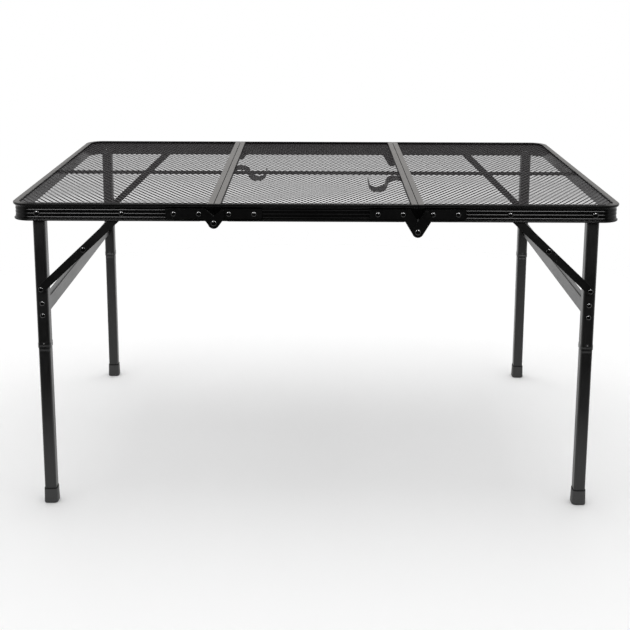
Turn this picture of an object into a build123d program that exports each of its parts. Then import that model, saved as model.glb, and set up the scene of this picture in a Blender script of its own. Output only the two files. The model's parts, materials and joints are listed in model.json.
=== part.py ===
# Folding camp table: three framed mesh panels hinged side by side, two folding leg pairs with knee
# braces, and lower legs that plug into the upper ones. Millimetres, +Z up, origin on the floor under
# the middle of the table, front towards -Y.
import math
import os

from build123d import *

# Overall sizes
TABLE_LENGTH = 900.0
TABLE_DEPTH = 600.0
TABLE_HEIGHT = 478.5
SEAM_GAP = 0.6

# Edge rail section: beads stand out past the web, the lip and the groove hold the mesh
RAIL_HEIGHT = 26.0
LIP_WIDTH = 9.2
LIP_THICKNESS = 2.0
BEAD_TOP = 3.4
BEAD_DEPTH = 4.4
BEAD_NOSE = 2.4
BEAD_BREAK = 0.9
BEAD_SLOPE = 1.4
BEAD_BOTTOM = 2.2
BEAD_FOOT = 2.4
FOOT_SLOPE = 0.6
FOOT_BREAK = 0.8
WEB_WALL = 1.6
GROOVE_LIP = 1.4
CORNER_RADIUS = 28.0
RIDGE_COUNT = 3
RIDGE_FIRST = 10.1
RIDGE_PITCH = 5.5
RIDGE_HEIGHT = 0.5
RIDGE_WIDTH = 1.8

# Mesh sheet, its coarse hexagon net and the bar under it
MESH_THICKNESS = 1.2
MESH_CLEARANCE = 0.2
MESH_EDGE_GAP = 0.3
HOLE_COLUMNS = 6
HOLE_STRAND = 2.5
STIFFENER_WIDTH = 5.0
STIFFENER_HEIGHT = 5.5

# Panel hinges: stamped plates on the outer face of the front and rear rails
PLATE_THICKNESS = 1.8
PLATE_START = 10.0
PLATE_LENGTH = 61.0
PLATE_HEIGHT = 15.0
PLATE_TOP = 7.0
PLATE_CORNER = 2.5
JOGGLE_LENGTH = 5.0
LEFT_EAR_FLARE = 0.0
RIGHT_EAR_FLARE = 6.0
LAYER_CLEARANCE = 0.2
EAR_RADIUS = 8.5
LEFT_PIVOT_DROP = 2.0
RIGHT_PIVOT_DROP = 14.5
BEAD_NOTCH = 20.0
HINGE_RIVETS = (22.0, 59.0)

# Rivets and running fits
RIVET_RADIUS = 2.5
RIVET_HEAD_RADIUS = 4.0
RIVET_HEAD_HEIGHT = 1.8
PIVOT_TAIL = 1.6
PIN_RADIUS = 3.0
PIN_HEAD_RADIUS = 4.5
BRACE_PIN_RADIUS = 2.5
RUN_CLEARANCE = 0.06

# Legs
LEG_SIZE = 18.5
LEG_WALL = 1.2
LEG_CORNER = 3.5
LEG_FROM_END = 39.5
LEG_SETBACK = 13.4
LEG_PIVOT_DEPTH = 15.0
LEG_JOINT_HEIGHT = 252.5
COLLAR_SWELL = 0.5
COLLAR_HEIGHT = 9.0
COLLAR_TAPER = 2.5
DETENT_HEIGHT = 260.5
DETENT_RADIUS = 1.6
DETENT_DEPTH = 0.5
PIVOT_BUSH_RADIUS = 5.5

# Crossbar between the front and rear leg of a pair
CROSSBAR_CENTRE = 313.0
CROSSBAR_HEIGHT = 30.0
CROSSBAR_WALL = 1.5
CROSSBAR_HEM = 8.0
CROSSBAR_TAB = 16.0
CROSSBAR_RIVET_PITCH = 19.0

# Knee brace: two flat links between the rail and the leg
BRACE_RAIL_REACH = 124.5
BRACE_LEG_DROP = 118.0
KNEE_SHARE = 0.525
LINK_WIDTH = 12.0
LINK_THICKNESS = 1.8
LINK_GAP = 0.4
LINK_CLEARANCE = 0.1
LINK_TAIL = 20.0
LINK_HEAD = 1.4
KNEE_HEAD = 1.2
RAIL_BUSH = 1.5
SHOULDER_RADIUS = 4.2
DIMPLE_RADIUS = 1.5
DIMPLE_HEIGHT = 0.4

# Lower legs and feet
LOWER_SIZE = 18.0
LOWER_WALL = 1.2
LOWER_CORNER = 3.3
JOINT_GAP = 0.3
NECK_LENGTH = 35.0
NECK_CLEARANCE = 0.25
NECK_WALL = 1.0
NECK_LINE_DROP = 5.4
NECK_LINE_DEPTH = 0.4
FOOT_SIZE = 22.0
FOOT_TOP_SIZE = 20.6
FOOT_HEIGHT = 25.0
FOOT_FLOOR = 4.0
FOOT_CORNER = 5.0
FOOT_CHAMFER = 1.0

# Storage clips under the middle panel, one beside each seam
CLIP_WALL = 1.2
CLIP_WIDTH = 42.0
CLIP_BAY = 30.0
CLIP_HEIGHT = 21.0
CLIP_RADIUS = 8.0
CLIP_LEFT_Y = 41.0
CLIP_RIGHT_Y = -55.0
CLIP_RIVET_DROP = 16.8
CLIP_RIVET_RADIUS = 1.8
CLIP_HEAD_RADIUS = 3.0
CLIP_HEAD_HEIGHT = 1.2

# Places worked out from the sizes above
TOP = TABLE_HEIGHT
RAIL_BOTTOM = TOP - RAIL_HEIGHT
HALF_LENGTH = TABLE_LENGTH / 2
HALF_DEPTH = TABLE_DEPTH / 2
SEAM = TABLE_LENGTH / 6
WEB_IN = BEAD_TOP + WEB_WALL
CREST = BEAD_TOP - RIDGE_HEIGHT
GROOVE_TOP = LIP_THICKNESS
GROOVE_BOTTOM = GROOVE_TOP + MESH_THICKNESS + MESH_CLEARANCE
MESH_BOTTOM = TOP - GROOVE_BOTTOM
LEDGE = TOP - GROOVE_BOTTOM - GROOVE_LIP
PLATE_Z = TOP - PLATE_TOP - PLATE_HEIGHT / 2
LEG_X = HALF_LENGTH - LEG_FROM_END
LEG_Y = HALF_DEPTH - LEG_SETBACK - LEG_SIZE / 2
LEG_REAR = LEG_SETBACK + LEG_SIZE
PIVOT_Z = TOP - LEG_PIVOT_DEPTH
BRACE_RAIL_X = LEG_X - BRACE_RAIL_REACH
BRACE_LEG_Z = PIVOT_Z - BRACE_LEG_DROP
RAIL_LINK_DEPTH = WEB_IN + RAIL_BUSH + LINK_CLEARANCE
LEG_LINK_DEPTH = RAIL_LINK_DEPTH + LINK_THICKNESS + LINK_GAP
PLATE_DEPTH = CREST - PLATE_THICKNESS
EAR_DEPTH = PLATE_DEPTH - LAYER_CLEARANCE - PLATE_THICKNESS
MIRROR_X = Plane.YZ
MIRROR_Y = Plane.XZ


def save(shape, name):
    export_step(shape, f"parts/{name}.step")


def group(solids):
    return Compound(children=[s for shape in solids for s in shape.solids()])


def face_xz(points):
    return make_face(Polyline([(x, 0, z) for x, z in points], close=True))


def box_between(x0, x1, y0, y1, z0, z1):
    return Pos((x0 + x1) / 2, (y0 + y1) / 2, (z0 + z1) / 2) * Box(x1 - x0, y1 - y0, z1 - z0)


def front_rod(x, z, radius, depth0, depth1):
    # A round bar along Y near the front, between two depths behind the front edge
    rod = extrude(Plane.XZ * Circle(radius), depth1 - depth0)
    return Pos(x, -HALF_DEPTH + depth1, z) * rod


def front_plate(face, depth, thickness):
    # A flat plate from a face drawn in X and Z, its outer side at a depth behind the front edge
    return Pos(0, -HALF_DEPTH + depth + thickness, 0) * extrude(face, thickness, dir=(0, -1, 0))


def dome(x, z, radius, height, depth):
    # A rivet head: a spherical cap standing out towards the front from a depth
    ball = (radius**2 + height**2) / (2 * height)
    arc = ThreePointArc(
        (radius, 0), (ball * math.sin(math.asin(radius / ball) / 2),
                      height - ball + ball * math.cos(math.asin(radius / ball) / 2)), (0, height)
    )
    cap = make_face([Line((0, 0), (radius, 0)), arc, Line((0, height), (0, 0))])
    return Pos(x, -HALF_DEPTH + depth, z) * (Rot(90, 0, 0) * revolve(Plane.XZ * cap, Axis.Z))


def rivet(x, z, seat, tail):
    # A fixed rivet: domed head on the seat, plain shank, flush with the sheet at its tail
    return dome(x, z, RIVET_HEAD_RADIUS, RIVET_HEAD_HEIGHT, seat) + front_rod(x, z, RIVET_RADIUS, seat, tail)


# Rails
def rail_points(beads):
    # Outline of the C section, beaded or plain, as inward depth and height under the top
    web = BEAD_TOP if beads else 0.0
    inner = web + WEB_WALL
    lip = LIP_WIDTH
    outer = []
    if beads:
        outer = [(BEAD_BREAK, 0), (0, -BEAD_BREAK), (0, -BEAD_NOSE), (BEAD_BREAK, -BEAD_DEPTH)]
        outer += [(web, -BEAD_DEPTH - BEAD_SLOPE)]
        for k in range(RIDGE_COUNT):
            z = -RIDGE_FIRST - k * RIDGE_PITCH
            half = RIDGE_WIDTH / 2
            rise = RIDGE_HEIGHT
            outer += [(web, z + half), (web - rise, z + half - rise), (web - rise, z - half + rise)]
            outer += [(web, z - half)]
        out = web - BEAD_BOTTOM
        foot = BEAD_FOOT - RAIL_HEIGHT
        outer += [(web, foot + FOOT_SLOPE), (out, foot - FOOT_SLOPE)]
        outer += [(out, FOOT_BREAK - RAIL_HEIGHT), (out + FOOT_BREAK, -RAIL_HEIGHT)]
    else:
        outer = [(0, 0), (0, -RAIL_HEIGHT)]
    ledge = GROOVE_BOTTOM + GROOVE_LIP
    return outer + [
        (inner, -RAIL_HEIGHT), (inner, -ledge), (lip, -ledge), (lip, -GROOVE_BOTTOM),
        (inner, -GROOVE_BOTTOM), (inner, -GROOVE_TOP), (lip, -GROOVE_TOP), (lip, 0),
    ]


def rail_section(x):
    # The beaded section standing across a front rail at one X
    points = [(x, -HALF_DEPTH + d, TOP + z) for d, z in rail_points(True)]
    return make_face(Polyline(points, close=True))


def seam_cuts(x, inward):
    # Room at a rail's seam end for the seam rail's lips and for the hinge ears
    def span(reach):
        return sorted((x - inward, x + inward * reach))

    lip_cut = box_between(*span(LIP_WIDTH + MESH_CLEARANCE), -HALF_DEPTH + WEB_IN,
                          -HALF_DEPTH + LIP_WIDTH + 1, RAIL_BOTTOM - 1, TOP + 1)
    ear_cut = box_between(*span(BEAD_NOTCH), -HALF_DEPTH - 1, -HALF_DEPTH + BEAD_TOP,
                          RAIL_BOTTOM - 1, TOP - PLATE_TOP + MESH_CLEARANCE)
    return [lip_cut, ear_cut]


def hinge_holes(seam_x, inward):
    return [front_rod(seam_x + inward * r, PLATE_Z, RIVET_RADIUS, -5, WEB_IN + 5) for r in HINGE_RIVETS]


def middle_rail():
    edge = SEAM - SEAM_GAP / 2
    rail = extrude(rail_section(-edge), 2 * edge, dir=(1, 0, 0))
    for x, inward in ((-edge, 1), (edge, -1)):
        rail = rail - seam_cuts(x, inward) - hinge_holes(math.copysign(SEAM, x), inward)
    return rail


def end_rail():
    # The left end panel's rail, bent round both outer corners
    edge = -SEAM - SEAM_GAP / 2
    path = FilletPolyline(
        (edge, -HALF_DEPTH, TOP), (-HALF_LENGTH, -HALF_DEPTH, TOP),
        (-HALF_LENGTH, HALF_DEPTH, TOP), (edge, HALF_DEPTH, TOP), radius=CORNER_RADIUS,
    )
    rail = sweep(rail_section(edge), path=path)
    cuts = seam_cuts(edge, -1) + hinge_holes(-SEAM, -1)
    cuts.append(front_rod(-LEG_X, PIVOT_Z, PIN_RADIUS, -5, WEB_IN + 2))
    cuts.append(front_rod(-BRACE_RAIL_X, PIVOT_Z, BRACE_PIN_RADIUS, -5, WEB_IN + 2))
    return rail - cuts - [mirror(c, MIRROR_Y) for c in cuts]


def seam_rail(x, inward):
    points = [(x + inward * d, TOP + z) for d, z in rail_points(False)]
    span = TABLE_DEPTH - 2 * WEB_IN
    return Pos(0, span / 2, 0) * extrude(face_xz(points), span, dir=(0, -1, 0))


# Mesh sheets: one face with a staggered net of hexagon holes
def hexagon(x, y, radius):
    corners = [(x + radius * math.cos(math.radians(a)), y + radius * math.sin(math.radians(a)))
               for a in range(30, 390, 60)]
    return Wire(Polyline(corners, close=True).edges())


def mesh_sheet(outline, x0, x1):
    # Every second row is moved by half a pitch; the net fills the space between the lips
    width = x1 - x0 - 2 * LIP_WIDTH - HOLE_STRAND
    pitch = width / (HOLE_COLUMNS + 0.5)
    row = pitch * math.sqrt(3) / 2
    radius = (pitch - HOLE_STRAND) / math.sqrt(3)
    depth = TABLE_DEPTH - 2 * LIP_WIDTH - 2 * HOLE_STRAND - 2 * radius
    rows = int(depth / row) + 1
    holes = []
    for j in range(rows):
        y = (j - (rows - 1) / 2) * row
        shift = pitch / 4 if j % 2 else -pitch / 4
        for i in range(HOLE_COLUMNS):
            x = (x0 + x1) / 2 + (i - (HOLE_COLUMNS - 1) / 2) * pitch + shift
            holes.append(hexagon(x, y, radius))
    sheet = Face(outline, holes)
    return Pos(0, 0, MESH_BOTTOM) * extrude(sheet, MESH_THICKNESS, dir=(0, 0, 1))


def middle_mesh():
    edge = SEAM - SEAM_GAP / 2 - WEB_WALL - MESH_EDGE_GAP
    deep = HALF_DEPTH - WEB_IN - MESH_EDGE_GAP
    outline = Polyline((-edge, -deep), (edge, -deep), (edge, deep), (-edge, deep), close=True)
    return mesh_sheet(Wire(outline.edges()), -SEAM, SEAM)


def end_mesh():
    seam = -SEAM - SEAM_GAP / 2 - WEB_WALL - MESH_EDGE_GAP
    out = -HALF_LENGTH + WEB_IN + MESH_EDGE_GAP
    deep = HALF_DEPTH - WEB_IN - MESH_EDGE_GAP
    bend = CORNER_RADIUS - WEB_IN - MESH_EDGE_GAP
    bent = FilletPolyline((seam, -deep), (out, -deep), (out, deep), (seam, deep), radius=bend)
    outline = Wire(bent.edges() + Line((seam, deep), (seam, -deep)).edges())
    return mesh_sheet(outline, -HALF_LENGTH, -SEAM)


def stiffener(x0, x1):
    half = STIFFENER_WIDTH / 2
    bar = box_between(x0, x1, -half, half, LEDGE - STIFFENER_HEIGHT, LEDGE)
    return fillet(bar.edges().filter_by(Axis.X).sort_by(Axis.Z)[:2], half / 2)


# Hinge plates
def plate_faces(seam_x, side, pivot_drop, flare):
    # The part on the rail and the ear down to the pivot; side is +1 for a plate right of the seam
    start = seam_x + side * PLATE_START
    inner = start + side * JOGGLE_LENGTH
    top = TOP - PLATE_TOP
    flat = Pos(start + side * PLATE_LENGTH / 2, PLATE_Z) * RectangleRounded(
        PLATE_LENGTH, PLATE_HEIGHT, PLATE_CORNER)
    eye = Pos(seam_x, RAIL_BOTTOM - pivot_drop) * Circle(EAR_RADIUS)
    low = top - PLATE_HEIGHT
    foot = inner + side * flare
    root = Polyline((start, top - PLATE_CORNER), (inner, top - PLATE_CORNER), (foot, low), close=True)
    ear = make_hull(eye.edges() + root.edges())
    strip = Pos((start + inner) / 2, PLATE_Z) * Rectangle(JOGGLE_LENGTH, PLATE_HEIGHT)
    return flat, ear, ear & strip


def hinge_plate(seam_x, side, pivot_drop, flare, raised, hole):
    # A raised plate's ear bends out by one layer, so that the two ears pass each other
    flat, ear, step = [Plane.XZ * f for f in plate_faces(seam_x, side, pivot_drop, flare)]
    body = front_plate(flat, PLATE_DEPTH, PLATE_THICKNESS)
    body = body + front_plate(ear, EAR_DEPTH if raised else PLATE_DEPTH, PLATE_THICKNESS)
    if raised:
        body = body + front_plate(step, EAR_DEPTH, CREST - EAR_DEPTH)
    holes = hinge_holes(seam_x, side)
    holes.append(front_rod(seam_x, RAIL_BOTTOM - pivot_drop, hole, EAR_DEPTH - 5, CREST + 5))
    return body - holes


def hinge_pin(seam_x, pivot_drop):
    z = RAIL_BOTTOM - pivot_drop
    shank = front_rod(seam_x, z, PIN_RADIUS, EAR_DEPTH - LAYER_CLEARANCE, CREST)
    return dome(seam_x, z, PIN_HEAD_RADIUS, RIVET_HEAD_HEIGHT, EAR_DEPTH - LAYER_CLEARANCE) + shank


def hinge_rivets(seam_x, side):
    return [rivet(seam_x + side * r, PLATE_Z, PLATE_DEPTH, WEB_IN) for r in HINGE_RIVETS]


# Storage clip: an S strip, an arch beside the seam rail and then a trough
def storage_clip(seam_x, side, y):
    half = CLIP_WALL / 2
    near = SEAM_GAP / 2 + WEB_WALL + half
    high = LEDGE - half - MESH_CLEARANCE
    low = high - CLIP_HEIGHT + CLIP_WALL
    points = [(near, low + CLIP_RADIUS / 2), (near, high), (near + CLIP_BAY, high), (near + CLIP_BAY, low),
              (near + 2 * CLIP_BAY, low), (near + 2 * CLIP_BAY, high - CLIP_RADIUS / 2)]
    path = FilletPolyline([(seam_x + side * u, z) for u, z in points], radius=CLIP_RADIUS)
    strip = Plane.XZ * trace(path, CLIP_WALL)
    solid = Pos(0, y + CLIP_WIDTH / 2, 0) * extrude(strip, CLIP_WIDTH, dir=(0, -1, 0))
    return solid - clip_shank(seam_x, side, y)


def clip_shank(seam_x, side, y):
    # From the seam rail's outer face through its web and the clip
    length = WEB_WALL + CLIP_WALL
    rod = extrude(Plane.YZ * Circle(CLIP_RIVET_RADIUS), side * length)
    return Pos(seam_x + side * SEAM_GAP / 2, y, TOP - CLIP_RIVET_DROP) * rod


def clip_rivet(seam_x, side, y):
    # The dome stands inside the clip's arch
    cap = Pos(0, HALF_DEPTH, 0) * dome(0, 0, CLIP_HEAD_RADIUS, CLIP_HEAD_HEIGHT, 0)
    seat = seam_x + side * (SEAM_GAP / 2 + WEB_WALL + CLIP_WALL)
    head = Pos(seat, y, TOP - CLIP_RIVET_DROP) * (Rot(0, 0, 90 * side) * cap)
    return head + clip_shank(seam_x, side, y)


# Legs, made for the front left corner
def square_tube(size, wall, corner, z0, z1):
    outer = RectangleRounded(size, size, corner)
    inner = RectangleRounded(size - 2 * wall, size - 2 * wall, max(corner - wall, 0.5))
    return Pos(-LEG_X, -LEG_Y, z0) * extrude(outer - inner, z1 - z0)


def collar():
    # The slightly swollen lower end of an upper leg
    swell = LEG_SIZE + 2 * COLLAR_SWELL
    wide = RectangleRounded(swell, swell, LEG_CORNER + COLLAR_SWELL)
    taper = LEG_JOINT_HEIGHT + COLLAR_HEIGHT - COLLAR_TAPER
    body = Pos(0, 0, LEG_JOINT_HEIGHT) * extrude(wide, COLLAR_HEIGHT - COLLAR_TAPER)
    narrow = Pos(0, 0, taper + COLLAR_TAPER) * RectangleRounded(LEG_SIZE, LEG_SIZE, LEG_CORNER)
    inner = LEG_SIZE - 2 * LEG_WALL
    bore = Pos(0, 0, LEG_JOINT_HEIGHT - 1) * RectangleRounded(inner, inner, LEG_CORNER - LEG_WALL)
    ring = body + loft([Pos(0, 0, taper) * wide, narrow]) - extrude(bore, COLLAR_HEIGHT + 2)
    return Pos(-LEG_X, -LEG_Y, 0) * ring


def crossbar_rivet_heights():
    return [CROSSBAR_CENTRE + s * CROSSBAR_RIVET_PITCH / 2 for s in (1, -1)]


def upper_leg(detent_side):
    # detent_side is -1 for the outer wall of the front leg, +1 for its inner wall
    leg = square_tube(LEG_SIZE, LEG_WALL, LEG_CORNER, LEG_JOINT_HEIGHT, PIVOT_Z + LEG_SIZE / 2)
    round_top = front_rod(-LEG_X, PIVOT_Z, LEG_SIZE / 2, 0, LEG_REAR + 5)
    below = box_between(-LEG_X - LEG_SIZE, -LEG_X + LEG_SIZE, -HALF_DEPTH, 0, 0, PIVOT_Z)
    leg = (leg & (round_top + below)) + collar()
    ball = (DETENT_RADIUS**2 + DETENT_DEPTH**2) / (2 * DETENT_DEPTH)
    swell = COLLAR_SWELL * (LEG_JOINT_HEIGHT + COLLAR_HEIGHT - DETENT_HEIGHT) / COLLAR_TAPER
    face = LEG_SIZE / 2 + swell - DETENT_DEPTH + ball
    dent = Pos(-LEG_X, -LEG_Y + detent_side * face, DETENT_HEIGHT) * Sphere(ball)
    holes = [
        dent,
        front_rod(-LEG_X, PIVOT_Z, PIN_RADIUS + RUN_CLEARANCE, 0, LEG_REAR + 5),
        front_rod(-LEG_X, BRACE_LEG_Z, BRACE_PIN_RADIUS, 0, LEG_SETBACK + 2 * LEG_WALL),
    ]
    holes += [front_rod(-LEG_X, z, RIVET_RADIUS, 0, LEG_REAR + 5) for z in crossbar_rivet_heights()]
    return leg - holes


def lower_tube():
    # The lower leg: a tube with a narrower neck that plugs into the upper leg
    shoulder = LEG_JOINT_HEIGHT - JOINT_GAP
    neck_size = LEG_SIZE - 2 * LEG_WALL - 2 * NECK_CLEARANCE
    neck_corner = LEG_CORNER - LEG_WALL - NECK_CLEARANCE
    body = square_tube(LOWER_SIZE, LOWER_WALL, LOWER_CORNER, FOOT_FLOOR, shoulder - LOWER_WALL)
    step = square_tube(LOWER_SIZE, (LOWER_SIZE - neck_size) / 2 + NECK_WALL, LOWER_CORNER,
                       shoulder - LOWER_WALL, shoulder)
    neck = square_tube(neck_size, NECK_WALL, neck_corner, shoulder, shoulder + NECK_LENGTH)
    line_z = shoulder - NECK_LINE_DROP
    line = square_tube(LOWER_SIZE + 2, NECK_LINE_DEPTH + 1, LOWER_CORNER, line_z, line_z + NECK_LINE_DEPTH)
    return body + step + neck - line


def foot():
    # A moulded cap, a little wider at the floor, with a pocket for the tube's end
    low = RectangleRounded(FOOT_SIZE, FOOT_SIZE, FOOT_CORNER)
    high = Pos(0, 0, FOOT_HEIGHT) * RectangleRounded(FOOT_TOP_SIZE, FOOT_TOP_SIZE, FOOT_CORNER)
    cap = loft([low, high])
    cap = chamfer(cap.faces().sort_by(Axis.Z)[0].edges(), FOOT_CHAMFER)
    pocket = Pos(0, 0, FOOT_FLOOR) * RectangleRounded(LOWER_SIZE, LOWER_SIZE, LOWER_CORNER)
    return Pos(-LEG_X, -LEG_Y, 0) * (cap - extrude(pocket, FOOT_HEIGHT))


def crossbar():
    # A flat strip with a stepped upper hem, and a riveted tab at each end
    low = CROSSBAR_CENTRE - CROSSBAR_HEIGHT / 2
    high = CROSSBAR_CENTRE + CROSSBAR_HEIGHT / 2
    hem = high - CROSSBAR_HEM
    wall = CROSSBAR_WALL
    x = -LEG_X + wall / 2
    profile = [(x, low), (x, hem), (x - wall, hem + wall / 2), (x - wall, high), (x - 2 * wall, high),
               (x - 2 * wall, hem), (x - wall, hem - wall / 2), (x - wall, low)]
    half = LEG_Y - LEG_SIZE / 2
    strip = Pos(0, half, 0) * extrude(face_xz(profile), 2 * half, dir=(0, -1, 0))
    tab = Pos(-LEG_X, 0, CROSSBAR_CENTRE) * (Plane.XZ * RectangleRounded(CROSSBAR_TAB, CROSSBAR_HEIGHT, 2))
    front_tab = front_plate(tab, LEG_REAR, wall)
    holes = [front_rod(-LEG_X, z, RIVET_RADIUS, 0, LEG_REAR + wall) for z in crossbar_rivet_heights()]
    bar = strip + front_tab + mirror(front_tab, MIRROR_Y)
    return bar - holes - [mirror(h, MIRROR_Y) for h in holes]


def leg_rivets():
    # Crossbar rivets through the leg, and the shouldered rivet that carries the lower brace link
    out = []
    for z in crossbar_rivet_heights():
        shank = front_rod(-LEG_X, z, RIVET_RADIUS, LEG_SETBACK, LEG_REAR + CROSSBAR_WALL)
        out.append(dome(-LEG_X, z, RIVET_HEAD_RADIUS, RIVET_HEAD_HEIGHT, LEG_SETBACK) + shank)
    seat = LEG_LINK_DEPTH - LAYER_CLEARANCE
    shoulder = LEG_LINK_DEPTH + LINK_THICKNESS + LAYER_CLEARANCE
    post = front_rod(-LEG_X, BRACE_LEG_Z, BRACE_PIN_RADIUS, seat, LEG_SETBACK + LEG_WALL)
    post = post + front_rod(-LEG_X, BRACE_LEG_Z, SHOULDER_RADIUS, shoulder, LEG_SETBACK)
    out.append(post + dome(-LEG_X, BRACE_LEG_Z, RIVET_HEAD_RADIUS, LINK_HEAD, seat))
    return out


def pivot_rivets():
    # The leg's pivot through rail, bush and leg, and the brace's pivot on the rail
    tail = LEG_REAR + LAYER_CLEARANCE
    pivot = dome(-LEG_X, PIVOT_Z, PIN_HEAD_RADIUS, RIVET_HEAD_HEIGHT, CREST)
    pivot = pivot + front_rod(-LEG_X, PIVOT_Z, PIN_RADIUS, CREST, tail)
    pivot = pivot + front_rod(-LEG_X, PIVOT_Z, PIN_HEAD_RADIUS, tail, tail + PIVOT_TAIL)
    brace = dome(-BRACE_RAIL_X, PIVOT_Z, RIVET_HEAD_RADIUS, RIVET_HEAD_HEIGHT, CREST)
    end = RAIL_LINK_DEPTH + LINK_THICKNESS
    return [pivot, brace + front_rod(-BRACE_RAIL_X, PIVOT_Z, BRACE_PIN_RADIUS, CREST, end)]


def pivot_bushes():
    leg = front_rod(-LEG_X, PIVOT_Z, PIVOT_BUSH_RADIUS, WEB_IN, LEG_SETBACK - LAYER_CLEARANCE)
    leg = leg - front_rod(-LEG_X, PIVOT_Z, PIN_RADIUS, 0, LEG_SETBACK)
    rail = front_rod(-BRACE_RAIL_X, PIVOT_Z, PIVOT_BUSH_RADIUS, WEB_IN, WEB_IN + RAIL_BUSH)
    return [leg, rail - front_rod(-BRACE_RAIL_X, PIVOT_Z, BRACE_PIN_RADIUS, 0, LEG_SETBACK)]


# Brace links, made for the front left corner
def knee_place():
    # On the straight line between the two fixed pivots
    rail_x, leg_x = -BRACE_RAIL_X, -LEG_X
    return (leg_x + KNEE_SHARE * (rail_x - leg_x), BRACE_LEG_Z + KNEE_SHARE * (PIVOT_Z - BRACE_LEG_Z))


def strip_face(start, end):
    length = math.dist(start, end)
    angle = math.degrees(math.atan2(end[1] - start[1], end[0] - start[0]))
    slot = Pos(length / 2, 0) * SlotCenterToCenter(length, LINK_WIDTH)
    return Plane.XZ * (Pos(*start) * (Rot(0, 0, angle) * slot))


def beyond(start, end, reach):
    share = reach / math.dist(start, end)
    return tuple(e + share * (e - s) for s, e in zip(start, end))


def frame_link():
    # From the rail's pivot past the knee, with two small stamped bosses on its tail
    rail, knee = (-BRACE_RAIL_X, PIVOT_Z), knee_place()
    tip = beyond(rail, knee, LINK_TAIL)
    link = front_plate(strip_face(rail, tip), RAIL_LINK_DEPTH, LINK_THICKNESS)
    length = math.dist(rail, knee)
    across = ((rail[1] - knee[1]) / length, (knee[0] - rail[0]) / length)
    for reach, aside in ((LINK_TAIL * 0.55, -0.25), (LINK_TAIL * 0.95, 0.25)):
        spot = [p + aside * LINK_WIDTH * a for p, a in zip(beyond(rail, knee, reach), across)]
        link = link + dome(*spot, DIMPLE_RADIUS, DIMPLE_HEIGHT, RAIL_LINK_DEPTH)
    link = link - front_rod(*rail, BRACE_PIN_RADIUS + RUN_CLEARANCE, 0, LEG_SETBACK)
    return link - front_rod(*knee, BRACE_PIN_RADIUS, 0, LEG_SETBACK)


def knee_rivet():
    # Fixed in the frame link and flush at its back, where the leg link lies close behind
    knee = knee_place()
    shank = front_rod(*knee, BRACE_PIN_RADIUS, RAIL_LINK_DEPTH, RAIL_LINK_DEPTH + LINK_THICKNESS)
    return dome(*knee, RIVET_HEAD_RADIUS, KNEE_HEAD, RAIL_LINK_DEPTH) + shank


def leg_link():
    leg, knee = (-LEG_X, BRACE_LEG_Z), knee_place()
    link = front_plate(strip_face(leg, knee), LEG_LINK_DEPTH, LINK_THICKNESS)
    return link - front_rod(*leg, BRACE_PIN_RADIUS + RUN_CLEARANCE, 0, LEG_SETBACK)


def four_ways(front, name, rear=None):
    # A front left piece copied to the four corners; the rear legs have a form of their own
    for end, piece in (("front", front), ("rear", mirror(rear or front, MIRROR_Y))):
        save(piece, f"left_{end}_{name}")
        save(mirror(piece, MIRROR_X), f"right_{end}_{name}")


def both_ends(pieces):
    return list(pieces) + [mirror(p, MIRROR_Y) for p in pieces]


def save_sides(shape, name):
    save(shape, f"left_{name}")
    save(mirror(shape, MIRROR_X), f"right_{name}")


os.makedirs("parts", exist_ok=True)

seam_inner = SEAM - SEAM_GAP / 2
seam_outer = SEAM + SEAM_GAP / 2

# Middle panel
front_rail = middle_rail()
save(front_rail, "middle_front_rail")
save(mirror(front_rail, MIRROR_Y), "middle_rear_rail")
clip_rivets = []
for side, sign, y in (("left", 1, CLIP_LEFT_Y), ("right", -1, CLIP_RIGHT_Y)):
    seam_x = -sign * SEAM
    web = seam_rail(-sign * seam_inner, sign)
    save(web - clip_shank(seam_x, sign, y), f"middle_{side}_seam_rail")
    save(storage_clip(seam_x, sign, y), f"{side}_storage_clip")
    clip_rivets.append(clip_rivet(seam_x, sign, y))
save(middle_mesh(), "middle_mesh")
save(stiffener(-seam_inner + WEB_WALL, seam_inner - WEB_WALL), "middle_stiffener")
left_plate = hinge_plate(-SEAM, 1, LEFT_PIVOT_DROP, LEFT_EAR_FLARE, True, PIN_RADIUS + RUN_CLEARANCE)
right_plate = hinge_plate(SEAM, -1, RIGHT_PIVOT_DROP, RIGHT_EAR_FLARE, False, PIN_RADIUS + RUN_CLEARANCE)
save(group(both_ends([left_plate, right_plate])), "middle_hinge_plates")
hinge_set = hinge_rivets(-SEAM, 1) + hinge_rivets(SEAM, -1)
save(group(both_ends(hinge_set) + clip_rivets), "middle_rivets")

# End panels
save_sides(end_rail(), "end_rail")
save_sides(seam_rail(-seam_outer, -1), "seam_rail")
save_sides(end_mesh(), "mesh")
save_sides(stiffener(-HALF_LENGTH + WEB_IN, -seam_outer - WEB_WALL), "stiffener")
left_plate = hinge_plate(-SEAM, -1, LEFT_PIVOT_DROP, LEFT_EAR_FLARE, False, PIN_RADIUS)
right_plate = hinge_plate(SEAM, 1, RIGHT_PIVOT_DROP, RIGHT_EAR_FLARE, True, PIN_RADIUS)
save(group(both_ends([left_plate])), "left_hinge_plates")
save(group(both_ends([right_plate])), "right_hinge_plates")
save(group(both_ends([hinge_pin(-SEAM, LEFT_PIVOT_DROP)])), "left_hinge_pins")
save(group(both_ends([hinge_pin(SEAM, RIGHT_PIVOT_DROP)])), "right_hinge_pins")
save_sides(group(both_ends(hinge_rivets(-SEAM, -1))), "panel_rivets")
save_sides(group(both_ends(pivot_rivets())), "pivot_rivets")
save_sides(group(both_ends(pivot_bushes())), "pivot_bushes")

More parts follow.
